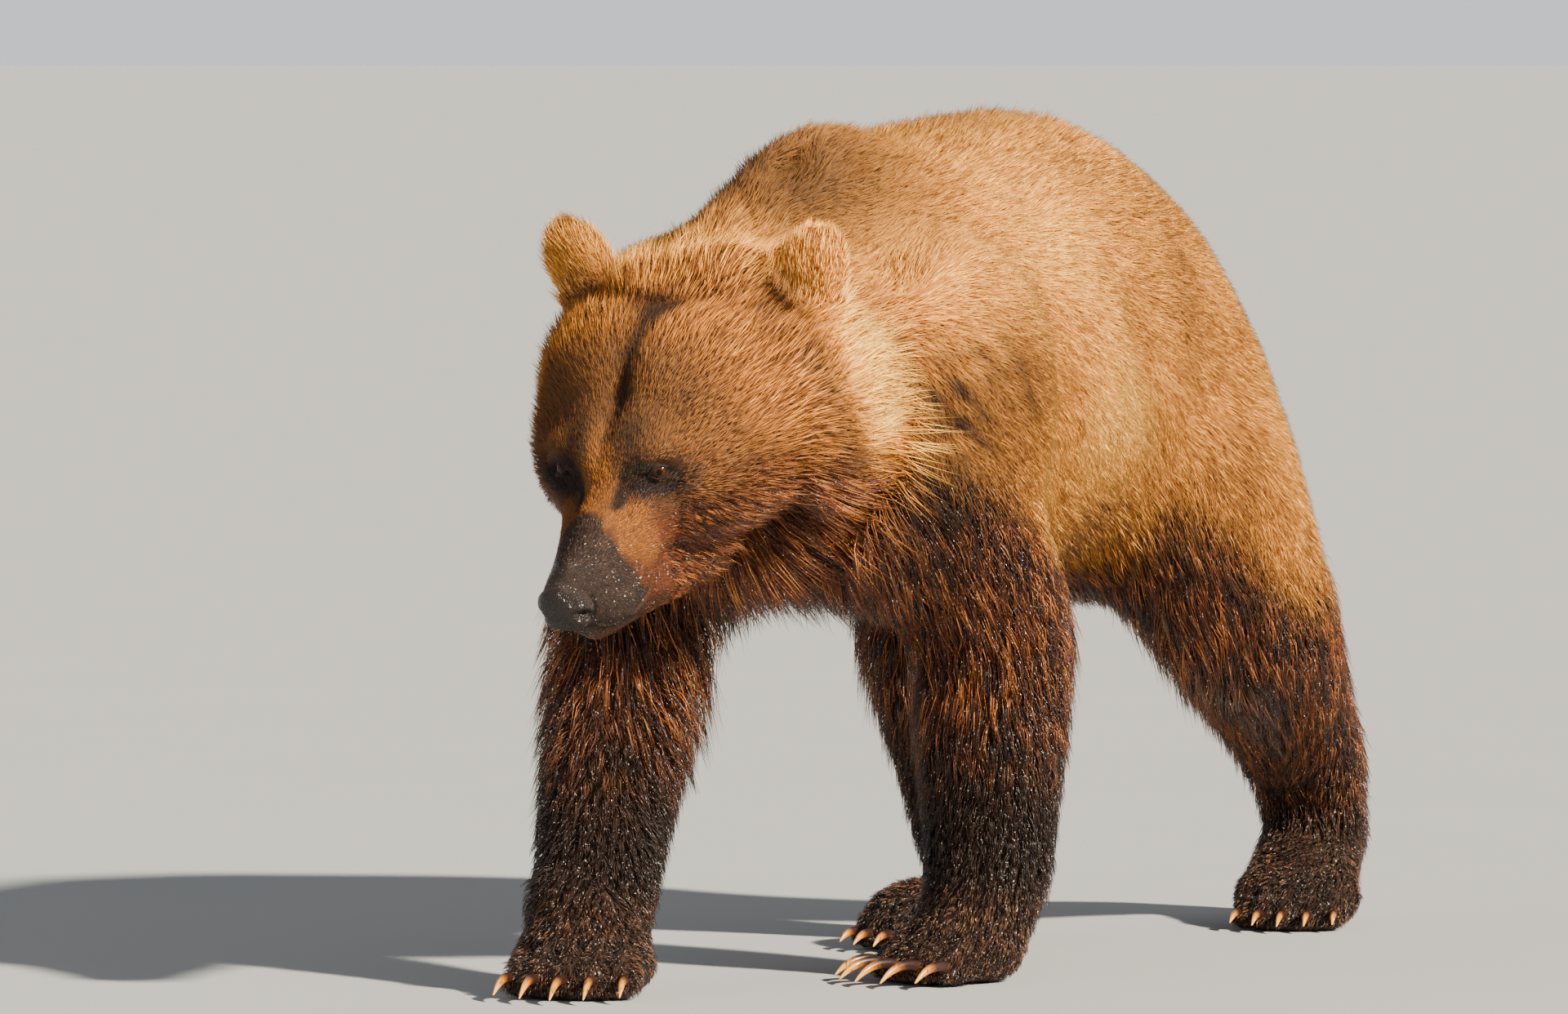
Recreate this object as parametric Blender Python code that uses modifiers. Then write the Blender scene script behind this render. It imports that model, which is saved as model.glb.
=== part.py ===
"""Grizzly bear, a life-size standing model.

The bear walks with its head low. It faces -Y, its left side is +X and it stands on Z = 0.
Flesh is built whole from named masses, fused into one skin, and then carved into the parts
that a person would name. Eyes and claws are separate solids set into the flesh.
All sizes are in metres and include the coat.
"""

from math import cos, pi, radians, sin

import bmesh
import bpy
import numpy as np
from mathutils import Euler, Matrix, Vector

# ---------------------------------------------------------------- driving dimensions
GAP = 0.0003  # clear cut between two neighbouring parts
TRIANGLES = 4150  # flesh budget

# Trunk: centre height and radii (half width, half length, half height) along the spine.
TRUNK = [
    (-0.21, 0.690, (0.180, 0.13, 0.215)),
    (0.00, 0.732, (0.245, 0.20, 0.276)),
    (0.25, 0.758, (0.265, 0.20, 0.295)),
    (0.47, 0.768, (0.262, 0.22, 0.299)),
    (0.62, 0.740, (0.242, 0.20, 0.270)),
    (0.76, 0.650, (0.232, 0.180, 0.225)),
]
RIDGE = [((0, -0.30, 0.812), (0.096, 0.10, 0.118)), ((0, 0.00, 0.900), (0.112, 0.20, 0.160))]
TAIL = [((0, 0.880, 0.785), (0.050, 0.035, 0.040)), ((0, 0.955, 0.690), (0.032, 0.028, 0.036))]
SINK = 0.008  # how much of each sole is flattened against the floor

# Head pose: where the point between the eyes is, and how the head is turned there.
HEAD_AT = Vector((-0.010, -0.515, 0.641))
HEAD_TURN = (33.0, 0.5, -8.0)  # muzzle down, roll, turned towards the bear's own right
EYE = Vector((0.070, -0.004, 0.008))
EYE_RADIUS = 0.0125

# Paws: place on the floor, and how far the toes turn inwards.
FORE_PAWS = {
    "left": {"place": (0.162, 0.040), "turn_in": 24.0},
    "right": {"place": (-0.145, -0.345), "turn_in": 14.0},
}
HIND_PAWS = {
    "left": {"place": (0.170, 0.972), "turn_in": -14.0, "heel_up": 28.0},
    "right": {"place": (-0.098, 0.462), "turn_in": -4.0, "heel_up": 4.0},
}
SIDES = {"left": 1, "right": -1}

COLOURS = {
    "coat_light": (0.42, 0.22, 0.09),
    "coat_mid": (0.30, 0.14, 0.055),
    "coat_dark": (0.085, 0.036, 0.018),
    "muzzle": (0.16, 0.095, 0.055),
    "nose": (0.03, 0.022, 0.02),
    "eye": (0.05, 0.022, 0.01),
    "claw": (0.42, 0.20, 0.06),
}


# ---------------------------------------------------------------- modelling helpers
def clear_scene():
    for obj in list(bpy.data.objects):
        bpy.data.objects.remove(obj, do_unlink=True)


def material(name, colour, roughness):
    made = bpy.data.materials.new(name)
    made.use_nodes = True
    shader = made.node_tree.nodes["Principled BSDF"]
    shader.inputs["Base Color"].default_value = (*colour, 1)
    shader.inputs["Roughness"].default_value = roughness
    shader.inputs["Metallic"].default_value = 0.0
    return made


def place(at=(0, 0, 0), turn=(0, 0, 0), size=(1, 1, 1)):
    """A matrix that scales, then turns (degrees about X, Y, Z), then moves."""
    spin = Euler([radians(angle) for angle in turn]).to_matrix().to_4x4()
    return Matrix.Translation(at) @ spin @ Matrix.Diagonal((*size, 1))


def add_mass(target, at, radii, turn=(0, 0, 0), frame=Matrix.Identity(4), segments=24):
    """One ellipsoid mass."""
    matrix = frame @ place(at, turn, radii)
    rings = segments // 2 + 2
    bmesh.ops.create_uvsphere(target, u_segments=segments, v_segments=rings, radius=1, matrix=matrix)


def hull_of(source):
    """Replaces what is in a bmesh by its convex hull."""
    wrapped = bmesh.ops.convex_hull(source, input=source.verts)
    loose = [e for e in wrapped["geom_interior"] if isinstance(e, bmesh.types.BMVert)]
    bmesh.ops.delete(source, geom=loose, context="VERTS")
    bmesh.ops.recalc_face_normals(source, faces=source.faces)


def add_limb(target, stations, frame=Matrix.Identity(4)):
    """A tapering limb: each pair of neighbouring (centre, radii) stations shares one hull."""
    for pair in zip(stations, stations[1:]):
        hull = bmesh.new()
        for at, radii in pair:
            add_mass(hull, at, radii, frame=frame)
        hull_of(hull)
        mesh = bpy.data.meshes.new("hull")
        hull.to_mesh(mesh)
        hull.free()
        target.from_mesh(mesh)
        bpy.data.meshes.remove(mesh)


def object_of(name, source, collection):
    mesh = bpy.data.meshes.new(name)
    source.to_mesh(mesh)
    source.free()
    obj = bpy.data.objects.new(name, mesh)
    collection.objects.link(obj)
    return obj


def bake_modifiers(obj):
    """Turns what the modifiers make into the object's own mesh."""
    bpy.context.view_layer.update()
    graph = bpy.context.evaluated_depsgraph_get()
    mesh = bpy.data.meshes.new_from_object(obj.evaluated_get(graph))
    obj.modifiers.clear()
    old = obj.data
    obj.data = mesh
    bpy.data.meshes.remove(old)


def fuse(name, masses, voxel, smoothing, collection):
    """Fuses overlapping masses into one skin and melts the creases between them."""
    obj = object_of(name, masses, collection)
    remesh = obj.modifiers.new("Fuse", "REMESH")
    remesh.mode = "VOXEL"
    remesh.voxel_size = voxel
    smooth = obj.modifiers.new("Melt", "SMOOTH")
    smooth.factor = 0.5
    smooth.iterations = smoothing
    bake_modifiers(obj)
    return obj


def combine(obj, tool, operation):
    """Applies one exact boolean with a tool object."""
    cut = obj.modifiers.new("Cut", "BOOLEAN")
    cut.operation = operation
    cut.solver = "EXACT"
    cut.object = tool
    bake_modifiers(obj)


def cell(name, points, grow, collection, frame=Matrix.Identity(4)):
    """A convex cell around some corners, with every wall moved outwards by grow."""
    shape = bmesh.new()
    for point in points:
        shape.verts.new(frame @ Vector(point))
    hull_of(shape)
    shape.normal_update()
    moved = []
    for vertex in shape.verts:
        walls = np.array([face.normal for face in vertex.link_faces])
        shift = np.linalg.lstsq(walls, np.full(len(walls), grow), rcond=None)[0]
        moved.append(vertex.co + Vector(shift))
    for vertex, at in zip(shape.verts, moved):
        vertex.co = at
    return object_of(name, shape, collection)


def carve(body, name, points, collection, frame=Matrix.Identity(4)):
    """Takes the part of the body inside a cell away as an object of its own."""
    inner = cell("inner", points, 0, collection, frame)
    outer = cell("outer", points, GAP, collection, frame)
    part = bpy.data.objects.new(name, body.data.copy())
    collection.objects.link(part)
    combine(part, inner, "INTERSECT")
    combine(body, outer, "DIFFERENCE")
    bpy.data.objects.remove(inner)
    bpy.data.objects.remove(outer)
    return part


# ---------------------------------------------------------------- trunk and neck
def torso_masses(head):
    m = bmesh.new()
    add_limb(m, [((0, y, z), radii) for y, z, radii in TRUNK])
    add_limb(m, TAIL)
    add_limb(m, RIDGE)  # top of the neck, rising to the hump
    for side in SIDES.values():
        add_mass(m, (side * 0.168, -0.05, 0.680), (0.126, 0.215, 0.240), (8, side * 10, 0))  # shoulder
    nape = head @ Vector((0, 0.235, -0.030))
    add_limb(m, [(nape, (0.165, 0.12, 0.162)), ((0, -0.10, 0.715), (0.198, 0.19, 0.230))])  # neck
    return m


# ---------------------------------------------------------------- head
def head_frame():
    turn = Euler([radians(angle) for angle in HEAD_TURN], "XYZ")
    return Matrix.Translation(HEAD_AT) @ turn.to_matrix().to_4x4()


def head_masses(frame):
    """Head in its own frame: origin between the eyes, muzzle along -Y, crown along +Z."""
    m = bmesh.new()
    add_mass(m, (0, 0.175, 0.025), (0.166, 0.145, 0.128), frame=frame)  # cranium
    add_mass(m, (0, 0.070, 0.000), (0.105, 0.105, 0.080), frame=frame)  # forehead
    face = [
        ((0, 0.150, -0.030), (0.202, 0.118, 0.130)),
        ((0, 0.075, -0.038), (0.154, 0.095, 0.100)),
        ((0, -0.005, -0.048), (0.078, 0.050, 0.052)),
        ((0, -0.148, -0.082), (0.041, 0.034, 0.036)),
    ]
    add_limb(m, face, frame)
    jaw = [((0, -0.122, -0.124), (0.033, 0.028, 0.021)), ((0, 0.06, -0.135), (0.080, 0.08, 0.056))]
    add_limb(m, jaw, frame)
    add_mass(m, (0, -0.174, -0.074), (0.033, 0.020, 0.027), frame=frame)  # nose
    crown = [((-0.050, 0.230, 0.088), (0.070, 0.066, 0.072)), ((0.074, 0.232, 0.100), (0.062, 0.064, 0.078))]
    add_limb(m, crown, frame)  # thick hair between the ears
    for side in SIDES.values():
        add_mass(m, (side * 0.050, 0.030, 0.014), (0.040, 0.045, 0.020), frame=frame)  # brow
        add_mass(m, (side * 0.030, -0.100, -0.098), (0.036, 0.064, 0.030), frame=frame)  # lip
        add_mass(m, (side * 0.138, 0.220, -0.045), (0.100, 0.125, 0.148), frame=frame)  # ruff
    return m


def ear_masses(frame):
    m = bmesh.new()
    for side in SIDES.values():
        add_mass(m, (side * 0.174, 0.262, 0.118), (0.046, 0.030, 0.058), (-24, side * 24, side * -14), frame)
    return m


# ---------------------------------------------------------------- legs and paws
def paw_frame(paw, side):
    return place((*paw["place"], 0), (0, 0, -side * paw["turn_in"]))


def add_fore_leg(m, side, paw, frame):
    x, y = paw["place"]
    wrist = frame @ Vector((0, 0.045, 0.130))
    elbow = Vector((side * 0.182, wrist.y + 0.36 * (0.05 - y), 0.43))
    shoulder = Vector((side * 0.180, -0.06, 0.62))
    stations = [
        (shoulder, (0.110, 0.140, 0.12)),
        (elbow, (0.104, 0.122, 0.09)),
        (wrist.lerp(elbow, 0.45), (0.092, 0.100, 0.06)),
        (wrist, (0.079, 0.080, 0.05)),
        (frame @ Vector((0, 0.012, 0.055)), (0.074, 0.070, 0.045)),
    ]
    add_limb(m, stations)


def heel_of(paw, frame):
    lift = radians(paw["heel_up"])
    return frame @ Vector((0, -0.02 + 0.165 * cos(lift), 0.046 + 0.165 * sin(lift)))


def add_hind_leg(m, side, paw, frame):
    x, y = paw["place"]
    hip = Vector((side * 0.138, 0.60 + 0.06 * y, 0.60))
    knee = Vector((side * (1.05 * abs(x) + 0.010), 0.5 * (y + 0.60), 0.41))
    hock = heel_of(paw, frame) + Vector((0, -0.03, 0.09))
    stations = [
        (hip, (0.146, 0.215, 0.165)),
        (knee, (0.112, 0.150, 0.120)),
        (knee.lerp(hock, 0.55), (0.092, 0.108, 0.08)),
        (hock, (0.086, 0.090, 0.06)),
    ]
    add_limb(m, stations)


def toes(reach, spread, radius):
    """Five toe tips on an arc in front of the paw, in the paw's frame."""
    for index in range(5):
        share = index / 2 - 1
        yield share, Vector((spread * share, -reach + 0.022 * share * share, radius * 1.25))


def claw(tip, radius, length, thick, grow, frame):
    """A curved, tapering claw that leaves the toe forwards and bends down to the floor."""
    start, bend = -14, 74  # degrees below level at the root, and how far it curves
    shape = bmesh.new()
    at = Vector((tip.x, tip.y - radius * 0.35, tip.z + radius * 0.35))
    steps, sides = 4, 5
    rings = []
    for step in range(steps + 1):
        share = step / steps
        angle = radians(start + bend * share)
        along = Vector((0, -cos(angle), -sin(angle)))
        across = Vector((0, -sin(angle), cos(angle)))
        wide = thick * (1 - 0.80 * share**1.4) + grow
        end = grow * (-1 if step == 0 else 1 if step == steps else 0)
        ring = []
        for index in range(sides):
            turn = 2 * pi * index / sides
            offset = Vector((0.78 * wide * cos(turn), 0, 0)) + across * (wide * sin(turn))
            ring.append(shape.verts.new(frame @ (at + offset + along * end)))
        rings.append(ring)
        at = at + along * (length / steps)
    for ring, following in zip(rings, rings[1:]):
        for index in range(sides):
            near = (index + 1) % sides
            shape.faces.new((ring[index], ring[near], following[near], following[index]))
    shape.faces.new(rings[0])
    shape.faces.new(rings[-1])
    bmesh.ops.recalc_face_normals(shape, faces=shape.faces)
    return shape


def paw_masses(frame, reach, spread, radius, palm):
    m = bmesh.new()
    add_mass(m, *palm, frame=frame)
    for share, tip in toes(reach, spread, radius):
        knuckle = Vector((tip.x * 0.8, tip.y * 0.5, radius * 2.3))
        root = Vector((tip.x * 0.6, 0.01, radius * 2.0))
        big = radius * 1.2
        stations = [(root, (big, big, big)), (knuckle, (big, big, big)), (tip, (radius, radius * 1.3, radius))]
        add_limb(m, stations, frame)
    return m


def foot_masses(paw, frame):
    m = bmesh.new()
    heel = heel_of(paw, frame)
    ball = frame @ Vector((0, -0.02, 0.046))
    add_limb(m, [(ball, (0.078, 0.05, 0.046)), (heel, (0.070, 0.066, 0.046))])
    add_limb(m, [(heel, (0.064, 0.066, 0.05)), (heel + Vector((0, -0.03, 0.09)), (0.082, 0.084, 0.06))])
    return m


# ---------------------------------------------------------------- assembly
def paw_frames():
    """Each paw with its frame, toe arc and claw size."""
    for name, side in SIDES.items():
        fore, hind = FORE_PAWS[name], HIND_PAWS[name]
        yield f"fore_{name}", paw_frame(fore, side), (0.088, 0.068, 0.0195), (0.077, 0.0088)
        yield f"hind_{name}", paw_frame(hind, side), (0.084, 0.060, 0.0180), (0.050, 0.0076)


def build_flesh(collection):
    head = head_frame()
    torso = torso_masses(head)
    feet = []
    for name, side in SIDES.items():
        fore, hind = FORE_PAWS[name], HIND_PAWS[name]
        add_fore_leg(torso, side, fore, paw_frame(fore, side))
        add_hind_leg(torso, side, hind, paw_frame(hind, side))
        feet.append(foot_masses(hind, paw_frame(hind, side)))
    parts = [
        fuse("torso", torso, 0.011, 22, collection),
        fuse("head", head_masses(head), 0.005, 6, collection),
        fuse("ears", ear_masses(head), 0.004, 2, collection),
    ]
    parts += [fuse("foot", foot, 0.006, 4, collection) for foot in feet]
    palm = ((0, 0.0, 0.049), (0.086, 0.080, 0.049))
    for name, frame, arc, _ in paw_frames():
        parts.append(fuse("paw", paw_masses(frame, *arc, palm), 0.004, 3, collection))
    whole = bmesh.new()
    for part in parts:
        whole.from_mesh(part.data)
        bpy.data.objects.remove(part)
    body = fuse("body", whole, 0.006, 5, collection)
    thin = body.modifiers.new("Thin", "DECIMATE")
    thin.ratio = TRIANGLES / (2 * len(body.data.polygons))
    bake_modifiers(body)
    floor = cell("floor", [(x, y, z) for x in (-2, 2) for y in (-2, 3) for z in (-1, SINK)], 0, collection)
    combine(body, floor, "DIFFERENCE")
    bpy.data.objects.remove(floor)
    return body


def build_claws(body, collection):
    """Cuts the claw sockets into the toes and makes the claws."""
    sockets = bmesh.new()
    claws = []
    for name, frame, arc, (length, thick) in paw_frames():
        for number, (share, tip) in enumerate(toes(*arc), 1):
            turned = frame @ place(tip, (0, 0, share * 8)) @ place(-tip)
            long = length * (1 - 0.12 * share * share)
            grown = claw(tip, arc[2], long, thick, GAP, turned)
            mesh = bpy.data.meshes.new("socket")
            grown.to_mesh(mesh)
            grown.free()
            sockets.from_mesh(mesh)
            bpy.data.meshes.remove(mesh)
            made = claw(tip, arc[2], long, thick, 0, turned)
            claws.append(object_of(f"claw_{name}_{number}", made, collection))
    tool = object_of("sockets", sockets, collection)
    combine(body, tool, "DIFFERENCE")
    bpy.data.objects.remove(tool)
    return claws


def build_eyes(body, collection):
    frame = head_frame()
    eyes = []
    for name, side in SIDES.items():
        at = Vector((side * EYE.x, EYE.y, EYE.z))
        for radius, label in ((EYE_RADIUS + GAP, "socket"), (EYE_RADIUS, f"eye_{name}")):
            ball = bmesh.new()
            add_mass(ball, at, (radius, radius, radius), (90, 0, 0), frame, 12)
            eyes.append(object_of(label, ball, collection))
        socket = eyes.pop(-2)
        combine(body, socket, "DIFFERENCE")
        bpy.data.objects.remove(socket)
    return eyes


def block(xs, ys, zs):
    return [(x, y, z) for x in xs for y in ys for z in zs]


def leg_cells():
    """Cells of each paw and leg from the floor up, as (name, corners)."""
    limits = {
        "fore_left": ((0.0, 0.45), (-0.30, 0.40), (-0.30, 0.40), (-0.12, 0.24), 0.60, 0.128),
        "fore_right": ((0.0, -0.45), (-0.62, 0.20), (-0.40, 0.20), (-0.32, 0.04), 0.60, 0.128),
        "hind_left": ((0.012, 0.45), (0.40, 1.35), (0.40, 1.35), (0.58, 0.95), 0.72, 0.215),
        "hind_right": ((0.012, -0.45), (0.22, 1.00), (0.22, 1.00), (0.44, 0.88), 0.72, 0.160),
    }
    for name, (xs, foot, groin, top, roof, ankle) in limits.items():
        kind, side = name.split("_")
        yield f"{kind}paw_{side}", block(xs, foot, (-0.1, ankle))
        ridge = [(xs[1], y, roof) for y in top]
        yield f"{kind}leg_{side}", block(xs, foot, (ankle,)) + block(xs, groin, (0.445,)) + ridge


def build_parts(body, collection):
    """Carves the fused flesh into named parts; what is left is the trunk."""
    head = head_frame()
    parts = [carve(body, name, corners, collection) for name, corners in leg_cells()]
    for name, side in SIDES.items():
        xs = (side * 0.120, side * 0.28)
        parts.append(carve(body, f"ear_{name}", block(xs, (0.18, 0.36), (0.098, 0.26)), collection, head))
    tail = [(x, y, z) for x in (-0.08, 0.08) for y, z in ((0.93, 0.64), (0.89, 0.84), (1.15, 0.60), (1.15, 0.86))]
    parts.append(carve(body, "tail", tail, collection))
    front = block((-0.45, 0.45), (-1.1, -0.335), (0.40, 1.20))
    skull = carve(body, "head", front, collection)
    parts.append(carve(skull, "nose", block((-0.05, 0.05), (-0.26, -0.168), (-0.110, -0.035)), collection, head))
    parts.append(carve(skull, "jaw", block((-0.12, 0.12), (-0.26, 0.02), (-0.30, -0.117)), collection, head))
    neck = [(x, y, z) for x in (-0.45, 0.45) for y, z in ((-0.335, 0.3), (-0.335, 1.2), (-0.20, 0.3), (-0.15, 1.2))]
    parts.append(carve(body, "neck", neck, collection))
    body.name = "trunk"
    return parts + [skull, body]


def build():
    clear_scene()
    collection = bpy.data.collections.new("grizzly_bear")
    bpy.context.scene.collection.children.link(collection)
    body = build_flesh(collection)
    claws = build_claws(body, collection)
    eyes = build_eyes(body, collection)
    parts = build_parts(body, collection) + claws + eyes
    bpy.context.view_layer.update()
    corners = np.array([v.co for obj in parts for v in obj.data.vertices])
    low, high = corners.min(axis=0), corners.max(axis=0)
    centre = Vector((-(low[0] + high[0]) / 2, -(low[1] + high[1]) / 2, -SINK))
    shades = {
        "fore": "coat_dark", "hind": "coat_dark", "nose": "nose", "eye": "eye", "claw": "claw", "jaw": "muzzle",
        "head": "coat_light", "ear": "coat_light", "neck": "coat_mid", "trunk": "coat_mid", "tail": "coat_mid",
    }
    rough = {"nose": 0.35, "eye": 0.05, "claw": 0.3}
    made = {name: material(name, colour, rough.get(name, 0.85)) for name, colour in COLOURS.items()}
    for obj in parts:
        obj.data.transform(Matrix.Translation(centre))
        obj.data.name = obj.name
        obj.data.materials.clear()
        kind = next(shade for start, shade in shades.items() if obj.name.startswith(start))
        obj.data.materials.append(made[kind])
        obj.data.shade_smooth()


build()
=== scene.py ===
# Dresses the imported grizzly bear: one skin with folds, lids and nostrils, a coat of
# mesh tufts over it, glassy eyes and horn claws, on a pale floor under studio light.
import math

import bpy
import numpy as np
from mathutils import Euler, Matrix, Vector
from mathutils.kdtree import KDTree


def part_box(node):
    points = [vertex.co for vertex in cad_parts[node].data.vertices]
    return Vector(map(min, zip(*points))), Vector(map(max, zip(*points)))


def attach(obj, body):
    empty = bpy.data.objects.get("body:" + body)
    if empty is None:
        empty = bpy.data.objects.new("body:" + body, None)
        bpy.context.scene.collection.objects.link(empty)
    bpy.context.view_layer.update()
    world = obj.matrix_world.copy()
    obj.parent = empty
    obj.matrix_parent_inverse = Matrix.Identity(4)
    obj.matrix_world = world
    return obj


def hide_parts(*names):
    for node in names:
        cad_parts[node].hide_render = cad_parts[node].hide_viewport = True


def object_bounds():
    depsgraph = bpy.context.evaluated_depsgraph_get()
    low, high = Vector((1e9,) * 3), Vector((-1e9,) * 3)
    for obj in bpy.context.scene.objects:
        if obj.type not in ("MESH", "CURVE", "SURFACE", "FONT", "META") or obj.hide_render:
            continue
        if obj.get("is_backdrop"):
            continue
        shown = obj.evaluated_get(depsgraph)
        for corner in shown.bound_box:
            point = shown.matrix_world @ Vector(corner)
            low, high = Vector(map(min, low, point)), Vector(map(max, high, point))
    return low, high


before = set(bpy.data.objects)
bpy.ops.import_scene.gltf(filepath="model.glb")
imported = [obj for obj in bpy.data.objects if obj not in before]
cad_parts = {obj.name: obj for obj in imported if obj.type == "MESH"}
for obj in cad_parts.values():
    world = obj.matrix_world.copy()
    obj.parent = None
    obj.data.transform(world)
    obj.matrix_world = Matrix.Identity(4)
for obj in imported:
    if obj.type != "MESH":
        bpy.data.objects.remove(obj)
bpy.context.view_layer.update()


def deselectAll():
    if bpy.context.object and bpy.context.object.mode != "OBJECT":
        bpy.ops.object.mode_set(mode="OBJECT")
    for obj in bpy.context.selected_objects:
        obj.select_set(False)


def pick(obj):
    deselectAll()
    obj.select_set(True)
    bpy.context.view_layer.objects.active = obj


def unit(vectors):
    return vectors / np.maximum(np.linalg.norm(vectors, axis=-1, keepdims=True), 1e-9)


def ramp(values, start, end):  # smooth step; falls when end is below start
    share = np.clip((values - start) / (end - start), 0, 1)
    return share * share * (3 - 2 * share)


def blend(a, b, share):
    share = np.asarray(share)
    if np.ndim(a) == 2 or np.ndim(b) == 2:
        share = share[:, None]
    return a + (b - a) * share


def blob(points, centre, radii):  # 1 at the centre, fading out
    away = (points - np.array(centre)) / np.array(radii)
    return np.exp(-0.5 * (away * away).sum(1))


def ripple(points, size, seed):  # smooth noise, about -1 to 1
    rng = np.random.default_rng(seed)
    total = np.zeros(len(points))
    for _ in range(7):
        wave = unit(rng.normal(size=3)) * rng.uniform(0.7, 1.5) * 2 * math.pi / size
        total += np.sin(points @ wave + rng.uniform(0, 2 * math.pi))
    return total / 2.6


def nearPath(points, path):  # distance to a chain of straight stretches
    best = np.full(len(points), 1e9)
    for start, end in zip(path, path[1:]):
        start, end = np.array(start), np.array(end)
        along = end - start
        share = np.clip((points - start) @ along / (along @ along), 0, 1)
        best = np.minimum(best, np.linalg.norm(points - start - share[:, None] * along, axis=1))
    return best


def readPoints(mesh, what="co"):
    values = np.empty(len(mesh.vertices) * 3, np.float32)
    mesh.vertices.foreach_get(what, values)
    return values.reshape(-1, 3).astype(float)


def writePoints(mesh, points):
    mesh.vertices.foreach_set("co", points.astype(np.float32).ravel())
    mesh.update()


def writeAttribute(mesh, name, values):
    made = mesh.attributes.new(name, "FLOAT", "POINT")
    made.data.foreach_set("value", np.asarray(values, np.float32))


def putOut(name, data):
    obj = bpy.data.objects.new(name, data)
    bpy.context.scene.collection.objects.link(obj)
    return obj


def finishWith(obj, kind, **settings):  # adds a modifier and applies it
    pick(obj)
    made = obj.modifiers.new(kind.title(), kind)
    for key, value in settings.items():
        setattr(made, key, value)
    bpy.ops.object.modifier_apply(modifier=made.name)


# the head's own axes, found from the eyes: -Y along the muzzle, +Z to the crown
headPose = {
    "turn": (33.0, 0.5, -8.0), "eye": (0.070, -0.004, 0.008),
    "middle": (0, 0.10, -0.02), "reach": (0.30, 0.30, 0.26),
    "ear": (0.180, 0.265, 0.135), "earReach": (0.062, 0.062, 0.075),
}
headAxes = np.array(Euler([math.radians(a) for a in headPose["turn"]], "XYZ").to_matrix())
eyeCentres = {}
for sideName in ("left", "right"):
    low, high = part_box(f"eye_{sideName}")
    eyeCentres[sideName] = np.array((low + high) / 2)
eyeMiddle = (eyeCentres["left"] + eyeCentres["right"]) / 2
headAt = eyeMiddle - headAxes @ np.array((0, *headPose["eye"][1:]))
sideSigns = {"left": 1, "right": -1}


def toHead(points):
    return (points - headAt) @ headAxes


def headShare(points):  # 1 on the head and its ruff, 0 on the neck
    local = toHead(points)
    away = (local - np.array(headPose["middle"])) / np.array(headPose["reach"])
    inside = ramp(np.linalg.norm(away, axis=1), 1.06, 0.94)
    return inside * ramp(local[:, 1] + 0.25 * local[:, 2], 0.355, 0.325)


def mirrored(points):  # the head's own places with both sides laid on the left one
    local = toHead(points)
    local[:, 0] = np.abs(local[:, 0])
    return local


def earShare(points):
    away = (mirrored(points) - np.array(headPose["ear"])) / headPose["earReach"]
    return ramp(np.linalg.norm(away, axis=1), 1.15, 0.85)


# markings and lie of the coat, shared by the skin and every tuft
coat = {
    "waterline": ((-0.60, 0.66), (-0.53, 0.64), (-0.40, 0.62), (-0.30, 0.55), (-0.10, 0.50), (0.10, 0.47),
                  (0.26, 0.52), (0.40, 0.46), (0.75, 0.40), (0.90, 0.38)),
    "dryLength": 0.023, "wetLength": 0.040, "dryLift": 18.0, "wetLift": 22.0,
    "dryWidth": 0.0014, "wetWidth": 0.0017,
    # centre, reach and strength of darker and of paler patches (x is mirrored)
    "darker": (((0.292, -0.345, 0.755), (0.03, 0.050, 0.05), 0.36),
               ((0.292, -0.285, 0.710), (0.03, 0.035, 0.05), 0.32),
               ((0.262, -0.450, 0.670), (0.05, 0.060, 0.09), 0.75),
               # front of the hump and behind the head: rust-brown coat, darkened further as painted shade
               ((0.05, -0.37, 0.97), (0.11, 0.13, 0.09), 0.66),
               ((0.04, -0.46, 0.95), (0.05, 0.07, 0.05), 0.30),
               ((0.03, 0.05, 1.05), (0.07, 0.25, 0.04), 0.46),
               ((0.236, 0.215, 0.885), (0.05, 0.045, 0.07), 0.34),
               ((0.255, 0.238, 0.783), (0.05, 0.04, 0.06), 0.24)),
    # paler coat on flank, shoulder, thigh and back, partly painted light where the lamp falls
    "paler": (((0.27, -0.02, 0.72), (0.06, 0.12, 0.15), 0.74),
              ((0.25, -0.42, 0.86), (0.06, 0.10, 0.09), 0.32),
              ((0.24, 0.44, 0.74), (0.07, 0.15, 0.17), 0.36),
              ((0.18, -0.10, 0.93), (0.10, 0.25, 0.10), 0.10)),
    # where long wet hair hangs under throat, chest and belly
    "hanging": (((0, -0.35, 0.47), (0.16, 0.22, 0.09)), ((0, 0.15, 0.40), (0.2, 0.35, 0.07)),
                ((0, -0.56, 0.50), (0.14, 0.10, 0.07)), ((-0.08, -0.48, 0.44), (0.09, 0.08, 0.08))),
    # which way the hair lies at each height: how much to the rear and how much down
    "heights": (0.0, 0.14, 0.30, 0.45, 0.70, 0.95),
    "rearward": (-0.85, -0.10, 0.12, 0.30, 0.75, 1.0), "downward": (0.45, 1.0, 1.0, 0.95, 0.65, 0.15),
}
bodyPaths = {  # shallow folds of the flank and behind the shoulder (x is mirrored)
    "flank": ((0.262, 0.068, 0.800), (0.257, 0.119, 0.706), (0.236, 0.190, 0.622), (0.224, 0.245, 0.539)),
    "shoulder": ((0.164, -0.066, 0.969), (0.224, -0.129, 0.871), (0.253, -0.153, 0.763),
                 (0.242, -0.110, 0.653), (0.207, -0.029, 0.569)),
}


def alongPath(points, path, reach):  # 1 on a chain of stretches, fading out
    return np.exp(-0.5 * (nearPath(points, path) / reach) ** 2)


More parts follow.
